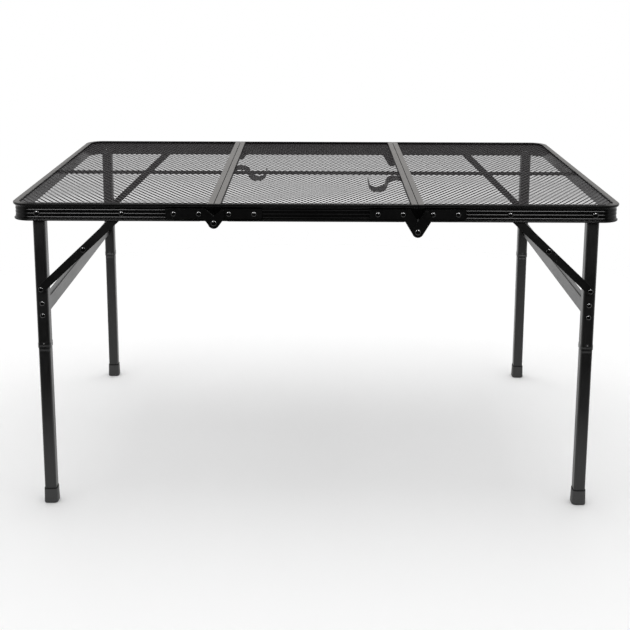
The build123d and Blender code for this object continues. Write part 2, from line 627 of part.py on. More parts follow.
# Leg pairs, braces and lower legs
four_ways(upper_leg(-1), "leg", upper_leg(1))
save_sides(crossbar(), "crossbar")
save_sides(group(both_ends(leg_rivets())), "leg_rivets")
four_ways(frame_link(), "frame_link")
four_ways(knee_rivet(), "knee_rivet")
four_ways(leg_link(), "leg_link")
four_ways(lower_tube(), "lower_tube")
four_ways(foot(), "foot")
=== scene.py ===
import json
import math

import bmesh
import bpy
import numpy as np
from mathutils import Matrix, Vector


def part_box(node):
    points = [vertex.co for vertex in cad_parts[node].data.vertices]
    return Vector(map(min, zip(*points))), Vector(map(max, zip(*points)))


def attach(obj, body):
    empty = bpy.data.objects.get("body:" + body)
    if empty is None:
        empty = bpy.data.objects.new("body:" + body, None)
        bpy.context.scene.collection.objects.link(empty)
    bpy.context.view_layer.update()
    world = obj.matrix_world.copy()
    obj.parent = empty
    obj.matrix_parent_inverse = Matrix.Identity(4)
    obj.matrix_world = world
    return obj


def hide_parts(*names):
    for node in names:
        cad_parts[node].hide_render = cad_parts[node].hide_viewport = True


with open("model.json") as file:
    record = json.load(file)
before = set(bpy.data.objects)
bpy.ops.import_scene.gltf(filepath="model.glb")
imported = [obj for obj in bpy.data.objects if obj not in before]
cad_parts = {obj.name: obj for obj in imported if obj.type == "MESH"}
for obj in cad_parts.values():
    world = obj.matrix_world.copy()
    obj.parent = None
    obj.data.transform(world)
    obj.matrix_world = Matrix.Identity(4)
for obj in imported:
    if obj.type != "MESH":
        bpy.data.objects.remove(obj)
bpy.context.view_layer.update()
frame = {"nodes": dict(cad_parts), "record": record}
mm = 0.001
sides = {"left": -1, "right": 1}
ends = {"front": -1, "rear": 1}
bodyOf = {node: body for body, nodes in frame["record"]["behaviour"]["bodies"].items() for node in nodes}

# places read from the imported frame, in millimetres, and the radius of the outer corners
railLow, railHigh = (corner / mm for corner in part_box("right_end_rail"))
table = {
    "halfLength": railHigh.x,
    "halfDepth": railHigh.y,
    "top": railHigh.z,
    "railHeight": railHigh.z - railLow.z,
    "middleEdge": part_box("middle_front_rail")[1].x / mm,
    "endEdge": railLow.x,
    "joint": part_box("left_front_leg")[0].z / mm,
    "corner": 28.0,
}
table["seam"] = (table["middleEdge"] + table["endEdge"]) / 2
print("frame read:", {key: round(value, 2) for key, value in table.items()})


class Socket:
    # wraps one output of a node tree: arithmetic adds Math nodes, node() adds any other node
    def __init__(self, tree, output=None):
        self.tree, self.output = tree, output

    def feed(self, socket, value):
        if isinstance(value, Socket):
            self.tree.links.new(value.output, socket)
        else:
            socket.default_value = value

    def node(self, kind, settings=None, sockets=None, out=0):
        made = self.tree.nodes.new("ShaderNode" + kind)
        for key, value in (settings or {}).items():
            if key == "stops":
                ramp = made.color_ramp.elements
                while len(ramp) < len(value):
                    ramp.new(0.5)
                for stop, (place, shade) in zip(ramp, value):
                    stop.position, stop.color = place, (shade, shade, shade, 1)
            else:
                setattr(made, key, value)
        for key, value in (sockets or {}).items():
            self.feed(made.inputs[key], value)
        return Socket(self.tree, made.outputs[out])

    def math(self, operation, first, second=0.0, clamp=False):
        return self.node("Math", {"operation": operation, "use_clamp": clamp}, {0: first, 1: second})

    def blend(self, colour, factor):
        # this colour where the factor is 0, the other where it is 1
        return self.node("Mix", {"data_type": "RGBA"}, {0: factor, 6: self, 7: colour}, out=2)

    def clamp(self):
        return self.math("ADD", self, 0.0, clamp=True)

    def __add__(self, other):
        return self.math("ADD", self, other)

    def __sub__(self, other):
        return self.math("SUBTRACT", self, other)

    def __rsub__(self, other):
        return self.math("SUBTRACT", other, self)

    def __mul__(self, other):
        return self.math("MULTIPLY", self, other)

    def __gt__(self, other):
        return self.math("GREATER_THAN", self, other)

    __radd__, __rmul__ = __add__, __mul__


coatings = {
    # colour and its clouded tint, roughness and its spread, grain along the stretch, bump, gloss, dust;
    # rails: a warm sheen on the top lips, which on the end rails fades where they turn to run across;
    # tubes: rings at heights from the leg's joint; feet: painted shade, black above the rim's height for the
    # gap round the tube
    "blackRail": {"colour": 0.0012, "tint": 0.0025, "rough": 0.24, "spread": 0.12, "grain": 0.8, "scale": 6.0,
                  "stretch": (4.0, 60.0, 240.0), "bump": 0.05, "gloss": 0.14, "dust": 0.05,
                  "topSheen": 0.9, "lipRough": 0.3, "sheenTurn": 20.0, "acrossRough": 0.35},
    "blackSeam": {"colour": 0.002, "tint": 0.004, "rough": 0.5, "spread": 0.12, "grain": 0.8, "scale": 6.0,
                  "stretch": (240.0, 4.0, 240.0), "bump": 0.1, "gloss": 0.25, "dust": 0.08, "topSheen": 0.9},
    "blackTube": {"colour": 0.0015, "tint": 0.004, "rough": 0.35, "spread": 0.14, "grain": 0.3, "scale": 5.0,
                  "stretch": (150.0, 150.0, 6.0), "bump": 0.1, "gloss": 0.58, "dust": 0.05,
                  "rings": (3.0, -3.5), "ringHalf": 1.4, "ringRise": 0.32},
    "blackStrip": {"colour": 0.0015, "tint": 0.004, "rough": 0.4, "spread": 0.14, "grain": 0.4, "scale": 40.0,
                   "stretch": (3.0, 3.0, 3.0), "bump": 0.12, "gloss": 0.2, "dust": 0.08},
    "blackBar": {"colour": 0.006, "tint": 0.011, "rough": 0.34, "spread": 0.14, "grain": 0.7, "scale": 6.0,
                 "stretch": (200.0, 5.0, 200.0), "bump": 0.1, "gloss": 0.45, "dust": 0.1},
    "blackPlate": {"colour": 0.0012, "tint": 0.0025, "rough": 0.34, "spread": 0.12, "grain": 0.2,
                   "scale": 60.0, "stretch": (3.0, 3.0, 3.0), "bump": 0.08, "gloss": 0.14, "dust": 0.0},
    "blackRivet": {"colour": 0.002, "tint": 0.005, "rough": 0.12, "spread": 0.06, "grain": 0.3, "scale": 80.0,
                   "stretch": (3.0, 3.0, 3.0), "bump": 0.02, "gloss": 0.8, "dust": 0.0},
    "blackNet": {"colour": 0.006, "tint": 0.012, "hue": (1.2, 0.88, 1.04), "rough": 0.55, "spread": 0.16,
                 "grain": 0.4, "scale": 50.0, "stretch": (4.0, 4.0, 4.0), "bump": 0.14, "gloss": 0.11,
                 "dust": 0.1},
    "blackFoot": {"colour": 0.026, "tint": 0.038, "rough": 0.5, "spread": 0.16, "grain": 0.15, "scale": 120.0,
                  "stretch": (3.0, 3.0, 3.0), "bump": 0.3, "gloss": 0.4, "dust": 0.25,
                  "rim": 23.0, "rimRough": 0.5},
}

# what all the coatings share: noise scales to the metre, ramp stops, shares, depths in millimetres, and the
# black painted as shade in the feet's gap
mottle = {
    "cloudScale": 14.0, "cloudDetail": 4.0, "cloudRough": 0.6, "cloudStops": [(0.35, 0.0), (0.7, 1.0)],
    "lineDetail": 3.0, "lineRough": 0.55, "speckScale": 900.0, "speckDetail": 2.0,
    "dustStops": [(0.6, 0.0), (0.78, 1.0)], "dustColour": (0.16, 0.155, 0.15, 1),
    "cloudShare": 0.6, "lineShare": 0.25, "cloudSpread": 0.4, "bumpDepth": 0.4,
    "lipDepth": 0.4, "sheenRough": 0.5, "sheenTint": (1.0, 0.95, 0.9, 1), "gapColour": (0, 0, 0, 1),
}


def coating(name):
    # a coated metal or plastic: clouded black, drawn or pebbled grain, a little dust in the clouds
    look, m = coatings[name], mottle
    material = bpy.data.materials.new(name)
    material.use_nodes = True
    tree = material.node_tree
    shader = tree.nodes["Principled BSDF"]
    paint = Socket(tree)
    place = paint.node("TexCoord", out="Object")
    clouds = paint.node("TexNoise", None, {"Vector": place, "Scale": m["cloudScale"],
                                           "Detail": m["cloudDetail"], "Roughness": m["cloudRough"]})
    drawn = paint.node("Mapping", None, {"Vector": place, "Scale": look["stretch"]})
    lines = paint.node("TexNoise", None, {"Vector": drawn, "Scale": look["scale"],
                                          "Detail": m["lineDetail"], "Roughness": m["lineRough"]})
    specks = paint.node("TexNoise", None, {"Vector": place, "Scale": m["speckScale"],
                                           "Detail": m["speckDetail"]})
    shade = paint.node("ValToRGB", {"stops": m["cloudStops"]}, {"Fac": clouds})
    hue = look.get("hue", (1, 1, 1))
    plain, clouded = (tuple(look[key] * part for part in hue) + (1,) for key in ("colour", "tint"))
    mix = shade * m["cloudShare"] + lines * m["lineShare"]
    skin = paint.node("Mix", {"data_type": "RGBA"}, {0: mix, 6: plain, 7: clouded}, out=2)
    if look["dust"]:
        settled = paint.node("ValToRGB", {"stops": m["dustStops"]}, {"Fac": specks})
        skin = skin.blend(m["dustColour"], settled * shade * look["dust"])
    height = lines * look["grain"] + specks * (1 - look["grain"])
    relief = paint.node("Bump", None, {"Strength": look["bump"], "Distance": m["bumpDepth"] * mm,
                                       "Height": height})
    spread = look["spread"]
    rough = (lines - 0.5) * spread + (shade - 0.5) * (spread * m["cloudSpread"]) + look["rough"]
    tall = paint.node("SeparateXYZ", None, {0: place}, out="Z")
    # painted shade: above the rim's height the foot is coloured black and made rougher, standing in for the
    # shadow in the gap round the tube
    if "rim" in look:
        paintedShade = tall > look["rim"] * mm
        skin = skin.blend(m["gapColour"], paintedShade)
        rough = rough + paintedShade * look["rimRough"]
    if "rings" in look:
        # ridges of height 1 - |z - ring| / half round the tubes, above and below the leg's joint
        away = [paint.math("ABSOLUTE", tall - (table["joint"] + ring) * mm) for ring in look["rings"]]
        ridges = sum((1 - gone * (1 / (look["ringHalf"] * mm))).clamp() for gone in away)
        relief = paint.node("Bump", None, {"Distance": look["ringRise"] * mm, "Height": ridges,
                                           "Normal": relief})
    if "topSheen" in look:
        lip = tall > (table["top"] - m["lipDepth"]) * mm
        if "sheenTurn" in look:
            out = paint.math("ABSOLUTE", paint.node("SeparateXYZ", None, {0: place}, out="X"))
            bend = (table["halfLength"] - table["corner"]) * mm
            turned = ((out - bend) * (1 / (look["sheenTurn"] * mm))).clamp()
            rough = rough + lip * ((1 - turned) * look["acrossRough"] + look["lipRough"])
            lip = lip * turned
        paint.feed(shader.inputs["Coat Weight"], lip * look["topSheen"])
        shader.inputs["Coat Roughness"].default_value = m["sheenRough"]
        shader.inputs["Coat Tint"].default_value = m["sheenTint"]
    paint.feed(shader.inputs["Base Color"], skin)
    paint.feed(shader.inputs["Normal"], relief)
    paint.feed(shader.inputs["Roughness"], rough)
    shader.inputs["Specular IOR Level"].default_value = look["gloss"]
    return material


finish = {name: coating(name) for name in coatings}
print("finishes made:", len(bpy.data.materials))


def softCorners(corners, steps=3):
    # corners of depth, height and radius: each corner p becomes a short quadratic curve
    # (1-t)^2 a + 2t(1-t) p + t^2 b, where a and b lie one radius from p along its two edges
    corners = np.array(corners, float)
    p, reach = corners[:, :2], corners[:, 2:]
    toward = [np.roll(p, shift, 0) - p for shift in (1, -1)]
    a, b = [(p + reach * t / np.linalg.norm(t, axis=1, keepdims=True))[:, None] for t in toward]
    t = np.linspace(0, 1, steps + 1)[None, :, None]
    return ((1 - t) ** 2 * a + 2 * t * (1 - t) * p[:, None] + t**2 * b).reshape(-1, 2)


def carry(profile, stations, inward):
    # a profile of depth and height carried along stations: point = station + depth * inward + height * up
    stations, inward = np.array(stations, float)[:, None], np.array(inward, float)[:, None]
    return stations + profile[None, :, :1] * inward + profile[None, :, 1:] * np.array((0, 0, 1.0))


def gridShell(rings):
    # rings of k points each, joined ring to ring, with a flat cap at each end
    count, k = rings.shape[:2]
    start, j = np.arange(count - 1)[:, None] * k, np.arange(k)[None]
    turn = (j + 1) % k
    quads = np.stack([start + j, start + turn, start + k + turn, start + k + j], -1).reshape(-1, 4).tolist()
    return rings.reshape(-1, 3), quads + [list(range(k)), list(range((count - 1) * k, count * k))]


def makePiece(name, shells, material, nodes, sharp=32.0, merge=0.0):
    # shells in millimetres joined into one object, turned outwards, smooth but for its real edges
    counts = np.cumsum([0] + [len(points) for points, _ in shells])
    faces = [[i + base for i in face] for base, (_, shell) in zip(counts, shells) for face in shell]
    mesh = bpy.data.meshes.new(name)
    mesh.from_pydata((np.concatenate([points for points, _ in shells]) * mm).tolist(), [], faces)
    work = bmesh.new()
    work.from_mesh(mesh)
    if merge:
        bmesh.ops.remove_doubles(work, verts=work.verts, dist=merge * mm)
    bmesh.ops.recalc_face_normals(work, faces=work.faces)
    work.to_mesh(mesh)
    work.free()
    return place(name, mesh, material, nodes, sharp)


def place(name, mesh, material, nodes, sharp):
    mesh.shade_smooth()
    mesh.set_sharp_from_angle(angle=math.radians(sharp))
    mesh.materials.clear()
    mesh.materials.append(material)
    piece = bpy.data.objects.new(name, mesh)
    bpy.context.scene.collection.objects.link(piece)
    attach(piece, bodyOf[nodes[0]])
    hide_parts(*nodes)
    return piece


def title(node):
    words = node.split("_")
    return words[0] + "".join(word.capitalize() for word in words[1:])


# edge rails: a beaded section, its lips cut away for the seam rails and its face for the hinge ears
railSection = {
    "bead": 3.4, "beadDepth": 5.9, "beadNose": 3.2, "webIn": 5.0, "lip": 9.2, "lipThick": 2.0,
    "groove": 3.4, "ledge": 4.8, "ridges": (10.1, 15.6, 21.1), "ridgeRise": 0.55, "ridgeHalf": 1.35,
    "foot": 1.2, "footTop": 3.1, "footRim": 1.9, "lipCut": 9.4, "faceCut": 20.0, "cornerSteps": 18,
}


def railProfile(lips=True, dressed=True):
    s, low = railSection, -table["railHeight"]
    face = [(0, 0, 1.6), (0, -s["beadNose"], 1.3), (s["bead"], -s["beadDepth"], 1.0)]
    if dressed:
        for drop in s["ridges"]:
            crest, half = s["bead"] - s["ridgeRise"], s["ridgeHalf"]
            face += [(s["bead"], -drop + half, 0.2), (crest, -drop, 0.9), (s["bead"], -drop - half, 0.2)]
        face += [(s["bead"], low + s["footTop"], 0.2), (s["foot"], low + s["footRim"], 0.6),
                 (s["foot"], low, 0.7)]
    else:
        face += [(s["bead"], low, 0.3)]
    if not lips:
        return softCorners(face + [(s["webIn"], low, 0.4), (s["webIn"], 0, 0.4)])
    return softCorners(face + [
        (s["webIn"], low, 0.4), (s["webIn"], -s["ledge"], 0.4), (s["lip"], -s["ledge"], 0.4),
        (s["lip"], -s["groove"], 0.3), (s["webIn"], -s["groove"], 0.2), (s["webIn"], -s["lipThick"], 0.2),
        (s["lip"], -s["lipThick"], 0.5), (s["lip"], 0, 0.8),
    ])


def straightRail(x0, x1, profile):
    stations = [(x, -table["halfDepth"], table["top"]) for x in (x0, x1)]
    return gridShell(carry(profile, stations, [(0, 1, 0)] * 2))


def seamEnd(edge, inward):
    # the two cut lengths of a rail beside a seam, running inward from its edge
    lipCut, faceCut = (edge + inward * railSection[key] for key in ("lipCut", "faceCut"))
    return [straightRail(edge, lipCut, railProfile(lips=False, dressed=False)),
            straightRail(lipCut, faceCut, railProfile(dressed=False))]


def flipped(shells, x=1, y=1):
    return [(points * np.array((x, y, 1.0)), faces) for points, faces in shells]


def buildMiddleRails():
    edge, cut = table["middleEdge"], railSection["faceCut"]
    front = seamEnd(-edge, 1) + seamEnd(edge, -1) + [straightRail(-edge + cut, edge - cut, railProfile())]
    for end, way in ends.items():
        node = f"middle_{end}_rail"
        makePiece(title(node), flipped(front, y=-way), finish["blackRail"], [node])


def buildEndRails():
    # the left rail's path: along the front, a quarter turn at each outer corner, back along the rear
    r, steps = table["corner"], railSection["cornerSteps"]
    half, deep, start = table["halfLength"], table["halfDepth"], -table["endEdge"] - railSection["faceCut"]
    turn = np.linspace(0, math.pi / 2, steps)
    spin = np.concatenate([turn, turn + math.pi / 2])
    inward = np.stack([np.sin(spin), np.cos(spin), 0 * spin], 1)
    centre = np.array([(-half + r, -deep + r, 0)] * steps + [(-half + r, deep - r, 0)] * steps)
    path = np.concatenate([[(start, -deep, 0)], centre - r * inward, [(start, deep, 0)]])
    inward = np.concatenate([[(0, 1, 0)], inward, [(0, -1, 0)]])
    bent = gridShell(carry(railProfile(), path + np.array((0, 0, table["top"])), inward))
    ending = seamEnd(-table["endEdge"], -1)
    shells = [bent] + ending + flipped(ending, y=-1)
    for side, way in sides.items():
        node = f"{side}_end_rail"
        makePiece(title(node), flipped(shells, x=-way), finish["blackRail"], [node])


def buildSeamRails():
    # plain grooved strips between the front and rear webs, back to back at each seam
    s, low = railSection, -table["railHeight"]
    wall = s["webIn"] - s["bead"]
    profile = softCorners([
        (0, 0, 1.2), (0, low, 0.4), (wall, low, 0.4), (wall, -s["ledge"], 0.4), (s["lip"], -s["ledge"], 0.4),
        (s["lip"], -s["groove"], 0.3), (wall, -s["groove"], 0.2), (wall, -s["lipThick"], 0.2),
        (s["lip"], -s["lipThick"], 0.5), (s["lip"], 0, 0.9),
    ])
    reach = table["halfDepth"] - s["webIn"]
    for side, way in sides.items():
        for node, x, inward in ((f"middle_{side}_seam_rail", way * table["middleEdge"], -way),
                                (f"{side}_seam_rail", way * table["endEdge"], way)):
            stations = [(x, y, table["top"]) for y in (-reach, reach)]
            strip = gridShell(carry(profile, stations, [(inward, 0, 0)] * 2))
            makePiece(title(node), [strip], finish["blackSeam"], [node])


buildMiddleRails()
buildEndRails()
buildSeamRails()
print("rails made")

# the net: hexagon cells, each a ring of strands round its opening; its inset is from the table's edge,
# its slack from the seam rails' walls, and its margins hold the strands' inner edges inside the panel
netShape = {"pitch": 9.3, "row": 8.05, "strand": 2.5, "round": 0.15, "thick": 0.5, "inset": 5.4, "slack": 0.4,
            "keep": 1.0, "roundMargin": 1.2, "holeMargin": 1.5, "sharp": 50.0, "merge": 0.01}


def buildNet(node, x0, x1, rounded):
    # every other row of cells is moved by half a pitch
    s, keep = netShape, netShape["keep"]
    columns = int((x1 - x0) / s["pitch"]) + 2
    rows = int(2 * table["halfDepth"] / s["row"]) + 2
    row, column = np.meshgrid(np.arange(rows), np.arange(columns), indexing="ij")
    cx = ((x0 + x1) / 2 + (column - (columns - 1) / 2 + 0.25 - 0.5 * (row % 2)) * s["pitch"]).ravel()
    cy = ((row - (rows - 1) / 2) * s["row"]).ravel()
    deep = table["halfDepth"] - s["inset"]
    kept = (cx > x0 + keep) & (cx < x1 - keep) & (abs(cy) < deep - keep)
    centre = np.stack([cx[kept], cy[kept]], 1)[:, None]
    angle = np.radians(np.arange(30, 390, 60))
    # a cell's corner lies at pitch/2 across its flats in X, and its rows are 3/4 of its height apart
    corner = np.stack([np.cos(angle) * s["pitch"] / math.sqrt(3), np.sin(angle) * s["row"] / 1.5], 1)[None]

    def fitted(scale, margin):
        # the cell's ring at a scale, held inside the panel's edge and its rounded corners
        flat = centre + corner * scale
        flat[..., 0] = np.clip(flat[..., 0], x0 + margin, x1 - margin)
        flat[..., 1] = np.clip(flat[..., 1], -deep + margin, deep - margin)
        if rounded:
            bend = table["corner"] - s["inset"]
            outer = -1 if abs(x0) > abs(x1) else 1
            pivot = np.array(((x0 if outer < 0 else x1) - outer * bend, deep - bend))
            away = flat - np.where(flat[..., 1:] > 0, pivot, pivot * np.array((1, -1)))
            far = np.maximum(np.linalg.norm(away, axis=-1, keepdims=True), s["merge"])
            inside = (away[..., :1] * outer > 0) & (away[..., 1:] * np.sign(flat[..., 1:]) > 0)
            pull = np.where(inside & (far > bend - margin), (bend - margin) / far, 1.0)
            flat = flat + away * (pull - 1)
        return flat

    high, thick, edge = table["top"] - railSection["groove"] + s["thick"], s["thick"], s["round"]
    hole = 1 - s["strand"] / s["pitch"]
    eased = hole + 2 * edge / s["pitch"]
    rings = [(1.0, 0.0, 0.0), (eased, s["roundMargin"], 0.0), (hole, s["holeMargin"], -edge),
             (hole, s["holeMargin"], edge - thick), (eased, s["roundMargin"], -thick), (1.0, 0.0, -thick)]
    layers = []
    for scale, margin, z in rings:
        flat = fitted(scale, margin)
        layers.append(np.concatenate([flat, np.full(flat.shape[:2] + (1,), high + z)], -1))
    points = np.stack(layers, 1)  # cells, rings, corners, xyz
    ring, side = np.meshgrid(np.arange(len(rings) - 1) * 6, np.arange(6), indexing="ij")
    turn = (side + 1) % 6
    quad = np.stack([ring + side, ring + turn, ring + 6 + turn, ring + 6 + side], -1).reshape(1, -1, 4)
    faces = (np.arange(len(points))[:, None, None] * (6 * len(rings)) + quad).reshape(-1, 4).tolist()
    piece = makePiece(title(node), [(points.reshape(-1, 3), faces)], finish["blackNet"], [node],
                      sharp=s["sharp"], merge=s["merge"])
    print(node, "cells", len(points), "faces", len(piece.data.polygons))


wallIn = railSection["webIn"] - railSection["bead"] + netShape["slack"]
buildNet("middle_mesh", -table["middleEdge"] + wallIn, table["middleEdge"] - wallIn, False)
buildNet("left_mesh", -table["halfLength"] + netShape["inset"], -table["endEdge"] - wallIn, True)
buildNet("right_mesh", table["endEdge"] + wallIn, table["halfLength"] - netShape["inset"], True)
print("nets made")

# rivets: a dome with a thin brim and a plain shank; sizes are head radius, head height, shank radius
rivetShape = {"around": 28, "steps": 8, "brim": 0.3, "dome": 0.97, "tip": 0.01}
rivetSizes = {"panel": (4.0, 1.8, 2.5), "pivot": (4.5, 1.8, 3.0), "inner": (4.5, 1.6, 3.0),
              "clip": (3.0, 1.2, 1.8), "link": (4.0, 1.4, 2.5), "washer": (4.2, 0.4, 4.2),
              "knee": (4.0, 1.2, 2.5)}


def domedRivet(place, axis, size, length):
    # radius and height follow an ellipse from the brim to the crown
    s, (radius, height, shank) = rivetShape, rivetSizes[size]
    tip, brim = s["tip"], s["brim"]
    swing = np.linspace(0, math.pi / 2, s["steps"])
    r = np.concatenate([[tip, shank, shank, radius, radius], radius * (s["dome"] * np.cos(swing) + tip)])
    z = np.concatenate([[-length, -length, 0, 0, brim], brim + (height - brim) * np.sin(swing)])
    spin = np.linspace(0, 2 * math.pi, s["around"], endpoint=False)
    out = np.array(axis, float)
    along = np.cross(out, (0, 0, 1.0))
    up = np.cross(along, out)
    ring = np.cos(spin)[:, None] * along + np.sin(spin)[:, None] * up
    return gridShell(np.array(place) + r[:, None, None] * ring + z[:, None, None] * out)


def frontRivet(x, z, depth, size, length):
    return domedRivet((x, -table["halfDepth"] + depth, z), (0, -1, 0), size, length)


# drops from the top, depths from the front edge and shank lengths
rivetPlaces = {
    "hinge": (22.0, 59.0), "hingeDrop": 14.5, "hingeDepth": 1.1, "hingeLength": 3.9,
    "pinDrop": {"left": 28.0, "right": 40.5}, "pinDepth": -1.1, "pinLength": 4.0,
    "legX": 410.5, "legSize": 18.5, "braceX": 286.0, "braceLength": 5.5,
    "pivotDrop": 15.0, "pivotDepth": 2.9, "pivotPast": 0.2, "innerLength": 0.1,
    "barZ": (322.5, 303.5), "barDepth": 13.4, "barPast": 1.5,
    "linkDrop": 133.0, "linkDepth": 8.6, "linkLength": 6.0, "washerDepth": 10.8, "washerLength": 2.6,
    "knee": (345.1375, 407.45), "kneeDepth": 6.6, "kneeLength": 1.8,
    "clipIn": 2.8, "clipDrop": 16.8, "clipLength": 2.75,
}


def bothEnds(shells):
    return shells + flipped(shells, y=-1)


def buildRivets():
    p, top, seam = rivetPlaces, table["top"], table["seam"]

    def hingeRivets(way, toward):
        return [frontRivet(way * (seam + toward * reach), top - p["hingeDrop"], p["hingeDepth"], "panel",
                           p["hingeLength"]) for reach in p["hinge"]]

    def rivetPiece(node, shells):
        makePiece(title(node), shells, finish["blackRivet"], [node])

    clips = []
    for side, way in sides.items():
        clipY = sum(corner.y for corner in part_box(f"{side}_storage_clip")) / 2 / mm
        at = (way * (table["middleEdge"] - p["clipIn"]), clipY, top - p["clipDrop"])
        clips.append(domedRivet(at, (-way, 0, 0), "clip", p["clipLength"]))
    rivetPiece("middle_rivets", bothEnds(hingeRivets(-1, -1) + hingeRivets(1, -1)) + clips)
    for side, way in sides.items():
        legX, pivotZ, linkZ = way * p["legX"], top - p["pivotDrop"], top - p["linkDrop"]
        through = p["barDepth"] + p["legSize"] + p["pivotPast"]
        pin = frontRivet(way * seam, top - p["pinDrop"][side], p["pinDepth"], "pivot", p["pinLength"])
        inner = (legX, -table["halfDepth"] + through, pivotZ)
        pivots = [frontRivet(legX, pivotZ, p["pivotDepth"], "pivot", through - p["pivotDepth"]),
                  domedRivet(inner, (0, 1, 0), "inner", p["innerLength"]),
                  frontRivet(way * p["braceX"], pivotZ, p["pivotDepth"], "panel", p["braceLength"])]
        leg = [frontRivet(legX, z, p["barDepth"], "panel", p["legSize"] + p["barPast"]) for z in p["barZ"]]
        leg += [frontRivet(legX, linkZ, p["linkDepth"], "link", p["linkLength"]),
                frontRivet(legX, linkZ, p["washerDepth"], "washer", p["washerLength"])]
        rivetPiece(f"{side}_panel_rivets", bothEnds(hingeRivets(way, 1)))
        rivetPiece(f"{side}_hinge_pins", bothEnds([pin]))
        rivetPiece(f"{side}_pivot_rivets", bothEnds(pivots))
        rivetPiece(f"{side}_leg_rivets", bothEnds(leg))
        knee = [frontRivet(way * p["knee"][0], p["knee"][1], p["kneeDepth"], "knee", p["kneeLength"])]
        for end, turn in ends.items():
            rivetPiece(f"{side}_{end}_knee_rivet", flipped(knee, y=-turn))


buildRivets()
print("rivets made")

# feet: a rounded square cap, sections carried up from the floor to a mouth that closes on the tube
footShape = {"low": 10.95, "high": 10.2, "tube": 9.0, "height": 25.0, "edge": 1.8, "power": 4.0, "around": 64,
             "steps": 6, "rimShare": 0.6, "mouthDrop": (0.3, 1.5), "mouthTrim": (1.1, 1.15), "fit": 0.02}


def buildFeet():
    # each section is a superellipse |x|^n + |y|^n = 1, its reach eased in at the floor and at the rim
    s, edge, height = footShape, footShape["edge"], footShape["height"]
    spin = np.linspace(0, 2 * math.pi, s["around"], endpoint=False)
    c, n = np.stack([np.cos(spin), np.sin(spin)], 1), s["power"]
    square = c / (np.abs(c) ** n).sum(1, keepdims=True) ** (1 / n)
    ease = np.linspace(0, math.pi / 2, s["steps"])
    slow, fast = edge * (1 - np.cos(ease)), edge * (1 - np.sin(ease))
    z = np.concatenate([slow, height - fast, height - np.array(s["mouthDrop"])])
    trim = np.concatenate([fast, slow * s["rimShare"], s["mouthTrim"]])
    wide = s["low"] + (s["high"] - s["low"]) * z / height
    reach = np.maximum(wide - trim, s["tube"] + s["fit"])
    for side in sides:
        for end in ends:
            node = f"{side}_{end}_foot"
            low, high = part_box(node)
            centre = (low + high) / 2 / mm
            rings = np.concatenate([reach[:, None, None] * square + np.array(centre[:2]),
                                    np.broadcast_to(z[:, None, None], (len(z), s["around"], 1))], -1)
            makePiece(title(node), [gridShell(rings)], finish["blackFoot"], [node])


buildFeet()
print("feet made")

# bevels in millimetres along the edges of the pieces below, and angles in degrees
edgeBreak = {"plate": 0.35, "link": 0.3, "leg": 0.2, "bar": 0.3, "clip": 0.25, "segments": 2, "angle": 32.0,
             "merge": 0.002, "flat": 0.5}


def softenEdges(piece, width):
    bevel = piece.modifiers.new("edgeBreak", "BEVEL")
    bevel.width, bevel.segments = width * mm, edgeBreak["segments"]
    bevel.limit_method, bevel.angle_limit = "ANGLE", math.radians(edgeBreak["angle"])
    evened = piece.modifiers.new("evenFaces", "WEIGHTED_NORMAL")
    evened.keep_sharp = True


# storage clips: a strip bent over one half ellipse and under the next, with straight ends
clipShape = {"wall": 1.2, "ending": 4.0, "steps": 14}


def buildClips():
    s, half = clipShape, clipShape["wall"] / 2
    swing = np.linspace(0, math.pi, s["steps"])
    for side, way in sides.items():
        node = f"{side}_storage_clip"
        low, high = (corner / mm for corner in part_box(node))
        bay, rise = (high.x - low.x - s["wall"]) / 2, (high.z - low.z - s["wall"]) / 2
        # u = bay (1 - cos t) / 2, v = rise sin t over the arch, and the same turned under for the trough
        u, v = bay * (1 - np.cos(swing)) / 2, rise * np.sin(swing)
        path = np.concatenate([[(0, s["ending"] - rise)], np.stack([u, v], 1), np.stack([u + bay, -v], 1)[1:],
                               [(2 * bay, rise - s["ending"])]])
        along = np.gradient(path, axis=0)
        across = np.stack([-along[:, 1], along[:, 0]], 1)
        offset = across * (half / np.linalg.norm(along, axis=1, keepdims=True))
        outline = np.concatenate([path + offset, (path - offset)[::-1]])
        start = low.x + half if way < 0 else high.x - half
        x, z = start - way * outline[:, 0], (low.z + high.z) / 2 + outline[:, 1]
        rings = np.stack([np.stack([x, np.full(len(x), y), z], 1) for y in (low.y, high.y)])
        clip = makePiece(title(node), [gridShell(rings)], finish["blackStrip"], [node])
        softenEdges(clip, edgeBreak["clip"])


buildClips()
print("clips made")

# the other pieces keep their solids' shape, with their edges broken: name's ending, coating, edge
dressing = [
    ("hinge_plates", "blackPlate", "plate"), ("link", "blackStrip", "link"), ("crossbar", "blackBar", "bar"),
    ("stiffener", "blackStrip", "clip"), ("bushes", "blackStrip", "clip"), ("leg", "blackTube", "leg"),
    ("lower_tube", "blackTube", "leg"),
]


def breakEdges(node, material, width):
    # a merged copy of the solid, its flat faces rejoined, then a small bevel along every real edge
    work = bmesh.new()
    work.from_mesh(frame["nodes"][node].data)
    bmesh.ops.remove_doubles(work, verts=work.verts, dist=edgeBreak["merge"] * mm)
    flat = math.radians(edgeBreak["flat"])
    bmesh.ops.dissolve_limit(work, angle_limit=flat, verts=work.verts, edges=work.edges)
    mesh = bpy.data.meshes.new(title(node))
    work.to_mesh(mesh)
    work.free()
    if "custom_normal" in mesh.attributes:
        mesh.attributes.remove(mesh.attributes["custom_normal"])
    softenEdges(place(title(node), mesh, material, [node], edgeBreak["angle"]), width)


for node in [name for name in frame["nodes"] if not frame["nodes"][name].hide_render]:
    coat, edge = next((coat, edge) for ending, coat, edge in dressing if node.endswith(ending))
    breakEdges(node, finish[coat], edgeBreak[edge])
print("edges broken")

